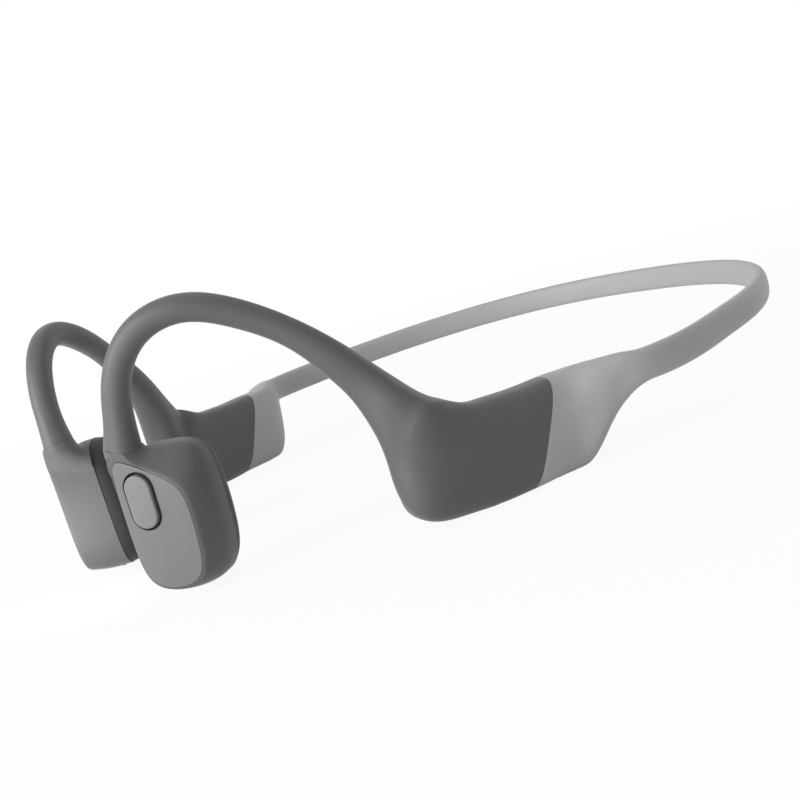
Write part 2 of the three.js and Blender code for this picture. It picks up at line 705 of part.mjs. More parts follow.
function makeLeafSpring() {
  const sheet = new THREE.Shape();
  sheet.absarc(0, 0, YOKE_RADIUS, 0, 2 * Math.PI, false);
  for (const start of [0, 1, 2]) {
    const slot = new THREE.Path();
    const from = (start * 2 * Math.PI) / 3;
    slot.absarc(0, 0, 3.9, from, from + 1.5, false);
    slot.absarc(0, 0, 3.1, from + 1.5, from, true);
    slot.closePath();
    sheet.holes.push(slot);
  }
  const inner = SPRING_DEPTH - SPRING_THICKNESS;
  return slab(sheet, inner, SPRING_DEPTH).translate(DRIVER_MIDDLE[0], 0, DRIVER_MIDDLE[1]);
}

function makeDriverBracket() {
  const outer = SPRING_DEPTH - SPRING_THICKNESS - CLEARANCE;
  const frame = slab(padOutline(WALL + 0.4 + CLEARANCE), outer - BRACKET_THICKNESS, outer);
  return cut(frame, disc(1.5, outer - 2, outer + 1));
}

const MICROPHONE_X = 1;
const MICROPHONE_Y = -0.3;

function microphonePort(radius, bottom, top) {
  const port = new THREE.CylinderGeometry(radius, radius, top - bottom, 12);
  const z = -TRANSDUCER_HALF_HEIGHT + (bottom + top) / 2 + WALL;
  return port.rotateX(Math.PI / 2).translate(MICROPHONE_X, MICROPHONE_Y, z);
}

function makeMicrophone() {
  const bottom = -TRANSDUCER_HALF_HEIGHT + WALL + CLEARANCE;
  return box(2, 1.5, 0.9, MICROPHONE_X, MICROPHONE_Y, bottom);
}

function makeMicrophoneMesh() {
  return microphonePort(MICROPHONE_RADIUS - CLEARANCE, -WALL + 0.35, -CLEARANCE);
}

// Assembly

function named(name, geometry, material) {
  const mesh = new THREE.Mesh(geometry, material);
  mesh.name = name;
  return mesh;
}

function addDriver(transducer, side) {
  transducer.add(named(`driver_yoke_${side}`, makeYoke(), materials.steel));
  transducer.add(named(`driver_magnet_${side}`, makeMagnet(), materials.magnet));
  transducer.add(named(`driver_pole_plate_${side}`, makePolePlate(), materials.steel));
  transducer.add(named(`voice_coil_${side}`, makeVoiceCoil(), materials.copper));
  transducer.add(named(`leaf_spring_${side}`, makeLeafSpring(), materials.steel));
  transducer.add(named(`driver_bracket_${side}`, makeDriverBracket(), materials.dark));
}

function addTransducer(limb, side, hasKey) {
  const transducer = transducerFrame();
  const housing = makeTransducerHousing(hasKey);
  transducer.add(named(`transducer_housing_${side}`, housing, materials.dark));
  transducer.add(named(`face_plate_${side}`, makeFacePlate(hasKey), materials.plate));
  transducer.add(named(`contact_pad_${side}`, makeContactPad(), materials.pad));
  addDriver(transducer, side);
  limb.add(transducer);
  return transducer;
}

// Sleeves, shells, wires and cables that both sides have
function addLimb(whole, side, direction) {
  const limb = new THREE.Group();
  limb.scale.x = direction;
  limb.add(named(`neckband_${side}`, makeNeckband(), materials.sleeve));
  limb.add(named(`band_wire_${side}`, makeBandWire(), materials.wire));
  limb.add(named(`band_cable_${side}`, makeBandCable(), materials.cable));
  limb.add(named(`ear_hook_${side}`, makeEarHook(), materials.dark));
  limb.add(named(`hook_wire_${side}`, makeHookWire(), materials.wire));
  limb.add(named(`hook_cable_${side}`, makeHookCable(), materials.cable));
  whole.add(limb);
  return limb;
}

function addPodFrame(limb, side) {
  const frame = podFrame();
  frame.add(named(`wire_anchor_${side}`, makeWireAnchor(), materials.dark));
  limb.add(frame);
  return frame;
}

function makeLeftSide(whole) {
  const limb = addLimb(whole, "left", 1);
  limb.add(named("pod_housing_left", makePodHousing(), materials.dark));
  const frame = addPodFrame(limb, "left");
  frame.add(named("battery_cell", makeBattery(), materials.pouch));
  frame.add(named("battery_board", makeBatteryBoard(), materials.board));
  frame.add(named("battery_foam", makeBatteryFoam(), materials.foam));
  const transducer = addTransducer(limb, "left", true);
  transducer.add(named("multifunction_button", makeKey(), materials.key));
  transducer.add(named("button_gasket", makeKeyGasket(), materials.rubber));
  transducer.add(named("button_circuit", makeKeyCircuit(), materials.board));
}

function makeRightSide(whole) {
  const limb = addLimb(whole, "right", -1);
  limb.add(named("pod_housing_right", makeRightPodHousing(), materials.dark));
  const frame = addPodFrame(limb, "right");
  frame.add(named("main_board", makeMainBoard(), materials.board));
  frame.add(named("radio_shield_can", makeShieldCan(), materials.steel));
  frame.add(named("volume_key_board", makeKeyBoard(), materials.board));
  for (const [key, y] of Object.entries(VOLUME_KEYS_Y)) {
    frame.add(named(`${key}_button`, makeVolumeKey(y), materials.rubber));
    frame.add(named(`${key}_switch`, makeVolumeSwitch(y), materials.steel));
  }
  frame.add(named("charge_port", makeChargePort(), materials.rubber));
  for (const [place, way] of [["front", -1], ["rear", 1]]) {
    const pin = contactPin(way, CHARGE_CONTACT_RADIUS, CHARGE_PORT.bottom + 0.15, CHARGE_PORT.top);
    frame.add(named(`charge_contact_${place}`, pin, materials.gold));
    frame.add(named(`charge_magnet_${place}`, makeChargeMagnet(way), materials.magnet));
  }
  const pipe = lightPipe(LIGHT_PIPE_RADIUS, LIGHT_PIPE_BOTTOM, KEY_BOARD.bottom - CLEARANCE);
  frame.add(named("indicator_light_pipe", pipe, materials.lens));
  const transducer = addTransducer(limb, "right", false);
  transducer.add(named("microphone", makeMicrophone(), materials.steel));
  transducer.add(named("microphone_mesh", makeMicrophoneMesh(), materials.steel));
}

const headphones = new THREE.Group();
makeLeftSide(headphones);
makeRightSide(headphones);

// The origin is the middle of the bottom of the whole part's box.
const bounds = new THREE.Box3().setFromObject(headphones, true);
const middle = bounds.getCenter(new THREE.Vector3());
headphones.position.set(-middle.x, -middle.y, -bounds.min.z);

export default headphones;
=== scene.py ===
"""Bone conduction headphones: a sprung neckband, two pods with ear hooks, and two transducers.

Metres, +Z up, +X the wearer's left, -Y the way the wearer faces. Each side is worked out once, on
+X, in millimetres, and mirrored for the wearer's right.
"""
import json

import bpy
import numpy as np
from mathutils import Matrix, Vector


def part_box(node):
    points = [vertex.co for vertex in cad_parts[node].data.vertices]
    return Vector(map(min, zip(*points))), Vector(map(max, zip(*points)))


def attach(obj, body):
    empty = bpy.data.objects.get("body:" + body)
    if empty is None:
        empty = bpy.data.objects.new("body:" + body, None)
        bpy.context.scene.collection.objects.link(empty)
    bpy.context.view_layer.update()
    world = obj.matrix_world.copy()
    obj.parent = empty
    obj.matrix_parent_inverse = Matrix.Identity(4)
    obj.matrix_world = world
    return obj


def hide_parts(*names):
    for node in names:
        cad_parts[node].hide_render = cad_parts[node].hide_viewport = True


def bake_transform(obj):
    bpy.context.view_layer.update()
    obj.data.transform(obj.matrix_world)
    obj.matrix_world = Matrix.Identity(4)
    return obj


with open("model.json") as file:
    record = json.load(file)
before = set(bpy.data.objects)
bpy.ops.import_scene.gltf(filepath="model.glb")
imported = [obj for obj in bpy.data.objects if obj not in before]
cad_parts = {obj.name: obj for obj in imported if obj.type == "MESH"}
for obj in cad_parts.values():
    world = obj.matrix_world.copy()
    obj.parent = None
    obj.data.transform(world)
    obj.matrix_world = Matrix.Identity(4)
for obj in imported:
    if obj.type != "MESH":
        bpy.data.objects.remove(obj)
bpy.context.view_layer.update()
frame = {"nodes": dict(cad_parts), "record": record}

# Studio. A pale floor meets a white surround. One broad soft lamp stands ahead of the wearer and a
# weaker one hangs overhead, so faces that look forward are the bright ones.

MM = 0.001
SCENE = bpy.context.scene
SCENE.view_settings.view_transform = "Standard"


class Socket:
    """An output of a shader node. Arithmetic on it adds Math nodes to the same tree."""

    def __init__(self, tree, end):
        self.tree = tree
        self.end = end

    def node(self, kind, settings=None, inputs=None, out=0):
        """Adds a node: its settings first, then its sockets."""
        made = self.tree.nodes.new(kind)
        for key, value in (settings or {}).items():
            setattr(made, key, value)
        for key, value in (inputs or {}).items():
            if isinstance(value, Socket):
                self.tree.links.new(value.end, made.inputs[key])
            else:
                made.inputs[key].default_value = value
        return Socket(self.tree, made.outputs[out]) if made.outputs else made

    def maths(self, operation, first, second):
        return self.node("ShaderNodeMath", {"operation": operation}, {0: first, 1: second})

    def __add__(self, other):
        return self.maths("ADD", self, other)

    def __sub__(self, other):
        return self.maths("SUBTRACT", self, other)

    def __rsub__(self, other):
        return self.maths("SUBTRACT", other, self)

    def __mul__(self, other):
        return self.maths("MULTIPLY", self, other)

    def __gt__(self, other):
        return self.maths("GREATER_THAN", self, other)

    __radd__ = __add__
    __rmul__ = __mul__


def shown_white(tree, surface, kind, share):
    """Mixes in plain white light for what the camera, gloss and glass see, and nothing else."""
    start = Socket(tree, surface)
    path = tree.nodes.new("ShaderNodeLightPath")
    rays = [Socket(tree, path.outputs[f"Is {ray} Ray"]) for ray in ("Camera", "Glossy", "Transmission")]
    seen = start.maths("MAXIMUM", start.maths("MAXIMUM", rays[0], rays[1]), rays[2])
    white = start.node(kind, None, {"Color": (1, 1, 1, 1), "Strength": 1.0})
    return start.node("ShaderNodeMixShader", None, {0: seen * share, 1: start, 2: white})


world = bpy.data.worlds.new("studio")
SCENE.world = world
world.use_nodes = True
sky = world.node_tree.nodes["Background"]
sky.inputs["Color"].default_value = (1, 1, 1, 1)
sky.inputs["Strength"].default_value = 0.30
mixed = shown_white(world.node_tree, sky.outputs[0], "ShaderNodeBackground", 1)
world.node_tree.links.new(mixed.end, world.node_tree.nodes["World Output"].inputs["Surface"])

floor_material = bpy.data.materials.new("floor_paper")
floor_material.use_nodes = True
paper = floor_material.node_tree
paper.nodes["Principled BSDF"].inputs["Base Color"].default_value = (0.86, 0.86, 0.86, 1)
paper.nodes["Principled BSDF"].inputs["Roughness"].default_value = 0.9
# Its shadow fades into plain white a little way from the object
spot = Socket(paper, paper.nodes.new("ShaderNodeTexCoord").outputs["Object"])
away = spot.node("ShaderNodeVectorMath", {"operation": "LENGTH"}, {0: spot}, out=1)
fade = away.maths("MINIMUM", away * 0.4 + 0.9, 1.0)
mixed = shown_white(paper, paper.nodes["Principled BSDF"].outputs[0], "ShaderNodeEmission", fade)
paper.links.new(mixed.end, paper.nodes["Material Output"].inputs["Surface"])

floor_mesh = bpy.data.meshes.new("floor")
FLOOR_HALF = 6.0
corners = [(-1, -1), (1, -1), (1, 1), (-1, 1)]
floor_mesh.from_pydata([(FLOOR_HALF * x, FLOOR_HALF * y, 0) for x, y in corners], [], [(0, 1, 2, 3)])
floor_mesh.materials.append(floor_material)
floor = bpy.data.objects.new("floor", floor_mesh)
SCENE.collection.objects.link(floor)
floor.location.z = -0.0001


def add_lamp(name, place, aim, width, power):
    """A square soft box at place, facing aim."""
    light = bpy.data.lights.new(name, "AREA")
    light.size = width
    light.energy = power
    lamp = bpy.data.objects.new(name, light)
    towards = np.subtract(aim, place)
    lamp.location = place
    back = -towards / np.linalg.norm(towards)
    side = np.cross((0, 0, 1), back)
    side /= np.linalg.norm(side)
    lamp.rotation_euler = Matrix(np.array([side, np.cross(back, side), back]).T).to_euler()
    SCENE.collection.objects.link(lamp)


add_lamp("key", (-0.10, -0.62, 0.26), (0, 0, 0.02), 0.34, 3.3)
add_lamp("overhead", (0.05, 0.10, 0.60), (0, 0, 0.01), 0.40, 0.45)
add_lamp("front", (0.06, -0.24, 0.05), (0, -0.06, 0.01), 0.12, 0.18)
add_lamp("between", (-0.003, -0.078, 0.004), (-0.02, -0.055, 0.004), 0.02, 0.006)
add_lamp("rear", (0.15, 0.70, 0.20), (0, 0, 0.02), 0.30, 0.35)

CAMERA_PLACE = (150.92, -114.54, 44.07)
CAMERA_RIGHT = (0.6021, 0.7453, -0.2864)
CAMERA_UP = (0.0267, 0.3397, 0.9402)
CAMERA_BACK = (0.7980, -0.5737, 0.1846)
camera = bpy.data.objects.new("camera", bpy.data.cameras.new("camera"))
camera.data.lens = 50
camera.data.clip_start = 0.005
turn = Matrix(np.array([CAMERA_RIGHT, CAMERA_UP, CAMERA_BACK]).T)
camera.rotation_euler = turn.to_euler()
camera.location = np.multiply(CAMERA_PLACE, MM)
SCENE.collection.objects.link(camera)
SCENE.camera = camera

# Neckband sleeve. Light grey silicone is moulded round the spring wire in one piece, from the boot
# over one pod, round the back of the head, to the boot over the other.

BAND_HALF_WIDTH = 50
BAND_REACH = 60.2
BAND_WIDEST = 13.2
BAND_SQUARENESS = 2.36
BAND_MID_Z = 10.9
BAND_HALF_HEIGHT = 2.3
BAND_HALF_THICKNESS = 1.25
ARC_STATIONS = 7
WALL = 1.1
CHANNEL_SHARE = 0.63  # of a thin section that is hollow
AROUND = 64


def spline(knots, values):
    """Natural cubic spline: each span is the cubic that meets its neighbours in slope and bend."""
    span = np.diff(knots)
    inner = np.arange(1, len(knots) - 1)
    system = np.eye(len(knots))
    system[inner, inner - 1] = span[:-1]
    system[inner, inner] = 2 * (span[:-1] + span[1:])
    system[inner, inner + 1] = span[1:]
    slope = np.diff(values, axis=0) / span[:, None]
    bend = np.linalg.solve(system, 6 * np.pad(np.diff(slope, axis=0), ((1, 1), (0, 0))))

    def at(s):
        s = np.atleast_1d(s)
        i = np.clip(np.searchsorted(knots, s, side="right") - 1, 0, len(span) - 1)
        width = span[i][:, None]
        past = (s - knots[i])[:, None]
        left = (knots[i + 1] - s)[:, None]
        ends = (values[i] / width - bend[i] * width / 6) * left
        ends += (values[i + 1] / width - bend[i + 1] * width / 6) * past
        return ends + (bend[i] * left**3 + bend[i + 1] * past**3) / (6 * width)

    return at


def arc_stations():
    """Rear arc: a superellipse from just past the middle of the back to the widest place."""
    angle = (np.pi / 2) * (1 - np.arange(-1, ARC_STATIONS + 1) / ARC_STATIONS)
    across = np.sign(np.cos(angle)) * np.abs(np.cos(angle)) ** (2 / BAND_SQUARENESS)
    across[1] = 0
    back = np.abs(np.sin(angle)) ** (2 / BAND_SQUARENESS)
    fixed = np.tile([BAND_MID_Z, BAND_HALF_HEIGHT, BAND_HALF_THICKNESS, 2.6, 0], (len(angle), 1))
    place = np.column_stack([BAND_HALF_WIDTH * across, BAND_WIDEST + BAND_REACH * back])
    return np.hstack([place, fixed])


def pod_station(y, z=6.65, half=7.75, thick=3.95, lean=27.0):
    """A section of the pod, which turns in towards the front."""
    x = 39.62 + (y + 9) * np.tan(np.radians(12.7))
    return [x, y, z, half, thick, 3.2, lean]


# Middle x, y, z, half height, half thickness, squareness, lean in degrees
BOOT = [
    [49.15, 10.4, 10.8, 2.5, 1.5, 2.7, 12],
    [47.2, 7.7, 9.4, 4.4, 2.2, 2.9, 20],
    [44.8, 4.9, 6.9, 7.1, 3.1, 3.1, 20],
    [42.95, 2.6, 6.4, 7.7, 3.6, 3.2, 22],
]
POD = [
    pod_station(-0.2, z=6.5, half=7.65, thick=3.9, lean=25),
    pod_station(-4, z=6.6),
    pod_station(-9),
    pod_station(-13.2, z=7.0, half=7.8, lean=29),
    pod_station(-16.9, z=7.6, half=8, lean=33),
    pod_station(-19.8, z=9.6, half=7.65, thick=3.8, lean=36),
]
HOOK_ROOT = [
    [36.4, -20.9, 12.9, 5.6, 3.45, 3, 40],
    [35.3, -21.9, 17.1, 3.6, 3.05, 2.8, 47],
    [33.9, -23.1, 20.6, 2.75, 2.6, 2.5, 57],
]
HOOK = [
    [32.2, -25.1, 24.4, 2.35, 2.3, 2.3, 0],
    [29.6, -28.7, 29.6, 1.9, 1.85, 2.2, 0],
    [25.8, -33.6, 34.3, 1.9, 1.85, 2.2, 0],
    [22, -38.9, 37, 1.9, 1.85, 2.2, 0],
    [17.1, -44.1, 35.4, 1.9, 1.85, 2.2, 0],
    [13.7, -47.3, 29.1, 1.9, 1.85, 2.2, 0],
    [12.7, -47.9, 25, 2.1, 1.96, 2.2, 0],
    [11.7, -48.2, 21.65, 2.6, 2.3, 2.3, 0],
]
stations = np.array([*arc_stations().tolist(), *BOOT, *POD, *HOOK_ROOT, *HOOK], float)
# The box's back is the outside of the rear arc
BACK_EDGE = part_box("neckband_left")[1].y / MM
stations[:, 1] += BACK_EDGE - (BAND_WIDEST + BAND_REACH + BAND_HALF_THICKNESS)
steps_between = np.linalg.norm(np.diff(stations[:, :3], axis=0), axis=1)
RUN = np.concatenate([[0], np.cumsum(steps_between)])  # distance along the limb at each station
MIDDLE_RUN = RUN[1]
SEAM_RUN = RUN[len(arc_stations()) + len(BOOT) + 1]
limb_at = spline(RUN, stations)


def run_direction(s):
    """Unit tangent of the limb's middle line, by central difference."""
    step = 0.02
    change = limb_at(s + step)[:, :3] - limb_at(s - step)[:, :3]
    return change / np.linalg.norm(change, axis=1)[:, None]


# The ear hook's sections stand square to its run
steep = np.degrees(np.arcsin(run_direction(np.clip(RUN, 0.05, RUN[-1] - 0.05))[:, 2]))
stations[-len(HOOK):, 6] = steep[-len(HOOK):]
limb_at = spline(RUN, stations)


def rings(s, hollow=False):
    """Closed sections at distances s along the limb. A section is a superellipse: its outward
    part is the half thickness times |cos|^(2/n), its upward part the half height times
    |sin|^(2/n), and the upward direction leans back against the run."""
    place, half, thick, square, lean = np.split(limb_at(s), [3, 4, 5, 6], axis=1)
    if hollow:
        half = np.maximum(CHANNEL_SHARE * half, half - WALL)
        thick = np.maximum(CHANNEL_SHARE * thick, thick - WALL)
    ahead = run_direction(s) * [1, 1, 0]
    ahead /= np.linalg.norm(ahead, axis=1)[:, None]
    outward = np.column_stack([-ahead[:, 1], ahead[:, 0], 0 * ahead[:, 0]])
    lean = np.radians(lean)
    up = np.cos(lean) * [0, 0, 1] - np.sin(lean) * ahead
    angle = np.linspace(0, 2 * np.pi, AROUND, endpoint=False)
    a = np.sign(np.cos(angle)) * np.abs(np.cos(angle)) ** (2 / square)
    b = np.sign(np.sin(angle)) * np.abs(np.sin(angle)) ** (2 / square)
    grid = place[:, None] + outward[:, None] * (thick * a)[:, :, None]
    grid = grid + up[:, None] * (half * b)[:, :, None]
    grid[:, :, 2] = np.maximum(grid[:, :, 2], 0)  # the flat strip it stands on
    return grid


def mirrored(grid):
    return grid * [-1, 1, 1]


def build(name, grid, material, body=None, replaced=(), ring=False, crease=40):
    """A closed piece from a grid of points in millimetres. Columns run round. Rows run round
    too when ring is true, and otherwise the first and last row each shrink to a middle point.
    A negative enclosed volume means that the faces look inwards, and turns them round."""
    rows, columns = grid.shape[:2]
    points = grid.reshape(-1, 3) * MM
    i = np.arange(rows if ring else rows - 1)[:, None]
    j = np.arange(columns)[None]
    below = (i + 1) % rows
    beside = (j + 1) % columns
    quads = [i * columns + j, below * columns + j, below * columns + beside, i * columns + beside]
    faces = np.stack(np.broadcast_arrays(*quads), axis=-1).reshape(-1, 4).tolist()
    if not ring:
        poles = len(points)
        points = np.vstack([points, grid[0].mean(0) * MM, grid[-1].mean(0) * MM])
        last = (rows - 1) * columns
        around = range(columns)
        faces += [[poles, k, (k + 1) % columns] for k in around]
        faces += [[poles + 1, last + (k + 1) % columns, last + k] for k in around]
    corners = np.array([[f[0], f[1], f[2]] for f in faces] + [[f[0], f[2], f[-1]] for f in faces])
    a, b, c = points[corners[:, 0]], points[corners[:, 1]], points[corners[:, 2]]
    if np.einsum("ij,ij->i", a, np.cross(b, c)).sum() < 0:
        faces = [face[::-1] for face in faces]
    mesh = bpy.data.meshes.new(name)
    mesh.from_pydata(points.tolist(), [], faces)
    mesh.shade_smooth()
    mesh.set_sharp_from_angle(angle=np.radians(crease))
    mesh.materials.append(material)
    piece = bpy.data.objects.new(name, mesh)
    SCENE.collection.objects.link(piece)
    if replaced:
        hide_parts(*replaced)
    if body:
        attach(piece, body)
    return piece


def begin(name):
    """A new material: it, its Principled shader and the piece's own coordinates."""
    material = bpy.data.materials.new(name)
    material.use_nodes = True
    tree = material.node_tree
    coordinates = tree.nodes.new("ShaderNodeTexCoord")
    return material, tree.nodes["Principled BSDF"], Socket(tree, coordinates.outputs["Object"])


def noise(place, size, detail=2):
    """Soft noise whose blotches are about size metres across."""
    return place.node("ShaderNodeTexNoise", None, {"Vector": place, "Scale": 1 / size, "Detail": detail})


def shades(place, amount, dark, light):
    """A grey or colour between dark and light."""
    ends = {0: amount, 6: (*dark, 1), 7: (*light, 1)}
    return place.node("ShaderNodeMix", {"data_type": "RGBA"}, ends, out=2)


def relief(place, height, depth, strength=1.0):
    """Raises the surface by height times depth, in metres."""
    return place.node("ShaderNodeBump", None, {"Height": height, "Distance": depth, "Strength": strength})


def plug(shader, name, value):
    value.tree.links.new(value.end, shader.inputs[name])


def moulded(name, colour, roughness, sheen, mottle=0.035, grain=9e-5, depth=6e-6):
    """Moulded silicone or plastic: faint mottling, a fine eroded grain, and sheen at its edges."""
    material, shader, place = begin(name)
    cloud = noise(place, 0.006, 3)
    fine = noise(place, grain, 1)
    colour = np.array(colour)
    mask = cloud * 0.75 + fine * 0.25
    plug(shader, "Base Color", shades(place, mask, colour * (1 - 2 * mottle), colour * (1 + 2 * mottle)))
    plug(shader, "Roughness", cloud * 0.10 + fine * 0.08 + (roughness - 0.09))
    plug(shader, "Normal", relief(place, fine, depth))
    shader.inputs["Sheen Weight"].default_value = sheen
    shader.inputs["Sheen Roughness"].default_value = 0.35
    shader.inputs["Specular IOR Level"].default_value = 0.4
    return material


sleeve_silicone = moulded("sleeve_silicone", (0.42, 0.42, 0.423), 0.52, 0.15)
SEAM_GAP = 0.03
half_run = np.linspace(SEAM_RUN - SEAM_GAP, MIDDLE_RUN, 200)
outside = rings(half_run)
inside = rings(half_run, hollow=True)
sleeve_grid = np.concatenate(
    [outside, mirrored(outside[-2::-1]), mirrored(inside), inside[-2::-1]]
)
sleeve = build(
    "neckband_sleeve",
    sleeve_grid,
    sleeve_silicone,
    replaced=("neckband_left", "neckband_right"),
    ring=True,
)
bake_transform(sleeve)

# Spring wire and cable of the neckband. The nickel titanium wire gives the band its grip, and the
# thin jacketed cable beside it joins battery and main board. Both end in the pods.

WIRE_RADIUS = 0.42
CABLE_RADIUS = 0.32
WIRE_RISE = 0.56
CABLE_DROP = 0.62
ROD_SIDES = 12


def rod(path, radius):
    """A round rod: at each point of the path, a circle square to the run."""
    ahead = np.gradient(path, axis=0)
    ahead /= np.linalg.norm(ahead, axis=1)[:, None]
    side = np.cross(ahead, [0, 0, 1])
    side /= np.linalg.norm(side, axis=1)[:, None]
    over = np.cross(side, ahead)
    angle = np.linspace(0, 2 * np.pi, ROD_SIDES, endpoint=False)[None, :, None]
    return path[:, None] + radius * (side[:, None] * np.cos(angle) + over[:, None] * np.sin(angle))


def band_route(rise):
    """Down the middle of the sleeve from one pod's anchor to the other's, shifted up by rise."""
    y_shift = BACK_EDGE - (BAND_WIDEST + BAND_REACH + BAND_HALF_THICKNESS)
    inside_pod = [[40.3, -6, 9.6], [41, -3, 9.6], [42.1, 0.6, 10.1], [43.8, 3.7, 10.5], [46.3, 7.1, 10.7]]
    left = np.array(inside_pod) + [0, y_shift, 0]
    left = np.vstack([left, stations[len(arc_stations()):0:-1, :3]])
    whole = np.vstack([left, mirrored(left[-2::-1])])
    along = np.concatenate([[0], np.cumsum(np.linalg.norm(np.diff(whole, axis=0), axis=1))])
    return spline(along, whole)(np.linspace(0, along[-1], 260)) + [0, 0, rise]


def drawn_metal(name, colour, roughness, streak=0.0006):
    """Metal with faint lengthways streaks and small changes of gloss."""
    material, shader, place = begin(name)
    cloud = noise(place, streak, 3)
    colour = np.array(colour)
    plug(shader, "Base Color", shades(place, cloud, colour * 0.9, colour * 1.05))
    plug(shader, "Roughness", cloud * 0.2 + (roughness - 0.1))
    plug(shader, "Normal", relief(place, cloud, 4e-6))
    shader.inputs["Metallic"].default_value = 1
    return material


spring_metal = drawn_metal("spring_metal", (0.55, 0.54, 0.52), 0.35)
cable_jacket = moulded("cable_jacket", (0.03, 0.03, 0.03), 0.5, 0.0)
wire = build(
    "band_spring_wire",
    rod(band_route(WIRE_RISE), WIRE_RADIUS),
    spring_metal,
    replaced=("band_wire_left", "band_wire_right"),
)
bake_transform(wire)
cable = build(
    "band_signal_cable",
    rod(band_route(-CABLE_DROP), CABLE_RADIUS),
    cable_jacket,
    replaced=("band_cable_left", "band_cable_right"),
)
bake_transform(cable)

# Pod and ear hook skins. Each side's pod and hook share one seamless coat of dark soft-touch
# silicone over a plastic core, from the boot's seam to the joint above the transducer.

dark_silicone = moulded("dark_silicone", (0.096, 0.096, 0.098), 0.5, 0.2)
HOOK_END_RUN = RUN[-1]
HOOK_END_GAP = 0.01
SIDES = {"left": 1, "right": -1}
skin_run = np.linspace(SEAM_RUN + SEAM_GAP, HOOK_END_RUN - HOOK_END_GAP, 300)
skin_grid = np.concatenate([rings(skin_run), rings(skin_run, hollow=True)[::-1]])
skins = {}
for side, way in SIDES.items():
    skins[side] = build(
        f"pod_and_hook_skin_{side}",
        skin_grid * [way, 1, 1],
        dark_silicone,
        body=f"{side}_side",
        replaced=(f"pod_housing_{side}", f"ear_hook_{side}"),
        ring=True,
    )

# Transducer housings. A flat-sided shell of the same dark silicone flares out of the hook's end,
# keeps the hook's front edge, and narrows from the seam at the contact pad to the face plate.

TRANSDUCER_MIDDLE = np.array([12.5, -44.6 + stations[1, 1] - BAND_WIDEST - BAND_REACH, 10.5])
TRANSDUCER_TURN = np.radians(33.5)
TRANSDUCER_LEAN = np.radians(2.5)
FRONT, REAR, HALF_HEIGHT = -4.8, 7.5, 10.4  # outline at the contact pad
PLATE_FRONT, PLATE_REAR, PLATE_BOTTOM = -4.4, 5.4, -9.0
PLATE_TOP_FRONT, PLATE_TOP_REAR = 10.8, 5.2
RIM_DEPTH = 4.95  # depths run outward from the transducer's middle
PAD_SEAM_DEPTH = -1.5
SEAT_DEPTH = 4.3
PLATE_MARGIN = 0.35  # rim left round the face plate
ROOM_DEPTH = 1.2  # ceiling of the driver's room
POLE = (-2.0, 2.0)  # every section of the shell is seen whole from here
ROUND = 384

lean_turn = np.array(
    [
        [np.cos(TRANSDUCER_LEAN), 0, np.sin(TRANSDUCER_LEAN)],
        [0, 1, 0],
        [-np.sin(TRANSDUCER_LEAN), 0, np.cos(TRANSDUCER_LEAN)],
    ]
)
plan_turn = np.array(
    [
        [np.cos(TRANSDUCER_TURN), -np.sin(TRANSDUCER_TURN), 0],
        [np.sin(TRANSDUCER_TURN), np.cos(TRANSDUCER_TURN), 0],
        [0, 0, 1],
    ]
)
TRANSDUCER_AXES = plan_turn @ lean_turn


def from_transducer(across, depth, height):
    """Points given across to the rear, outward and up from the transducer's middle."""
    local = np.stack(np.broadcast_arrays(across, -np.asarray(depth, float), height), axis=-1)
    return TRANSDUCER_MIDDLE + local @ TRANSDUCER_AXES.T


def to_transducer(points):
    across, inward, height = np.moveaxis((points - TRANSDUCER_MIDDLE) @ TRANSDUCER_AXES, -1, 0)
    return across, -inward, height


def rounded_meet(radius, *distances):
    """Where several half spaces meet, with corners of about that radius: the logarithm of the
    sum of the exponentials of their distances."""
    blur = 0.42 * radius
    stack = np.stack(np.broadcast_arrays(*distances)) / blur
    top = stack.max(0)
    return blur * (top + np.log(np.exp(stack - top).sum(0)))


def pad_outline(x, z):
    lower = rounded_meet(6.2, x - REAR, FRONT - x, -HALF_HEIGHT - z)
    return rounded_meet(4.8, lower, z - HALF_HEIGHT)


def plate_outline(x, z):
    """Straight front and rear edges, a full round bottom, and a top that slants down to the rear."""
    slope = (PLATE_TOP_FRONT - PLATE_TOP_REAR) / (PLATE_REAR - PLATE_FRONT)
    slant = (z - PLATE_TOP_FRONT + slope * (x - PLATE_FRONT)) / np.hypot(1, slope)
    lower = rounded_meet(5.2, x - PLATE_REAR, PLATE_FRONT - x, PLATE_BOTTOM - z)
    return rounded_meet(2.6, lower, slant)


# The hook's last section: its middle, half sizes, and the directions square to one another there
end_station = limb_at(HOOK_END_RUN)[0]
END_MIDDLE = end_station[:3]
END_HALF, END_THICK, END_SQUARE = end_station[3:6]
END_AHEAD = run_direction(np.array([HOOK_END_RUN - 0.03]))[0]
level = END_AHEAD * [1, 1, 0]
level /= np.linalg.norm(level)
end_lean = np.radians(end_station[6])
END_OUTWARD = np.array([-level[1], level[0], 0])
END_FORWARD = np.cos(end_lean) * np.array([0, 0, 1]) - np.sin(end_lean) * level
FLARE_BOTTOM = 7.4
FLARE_DROP = to_transducer(END_MIDDLE)[2] - FLARE_BOTTOM


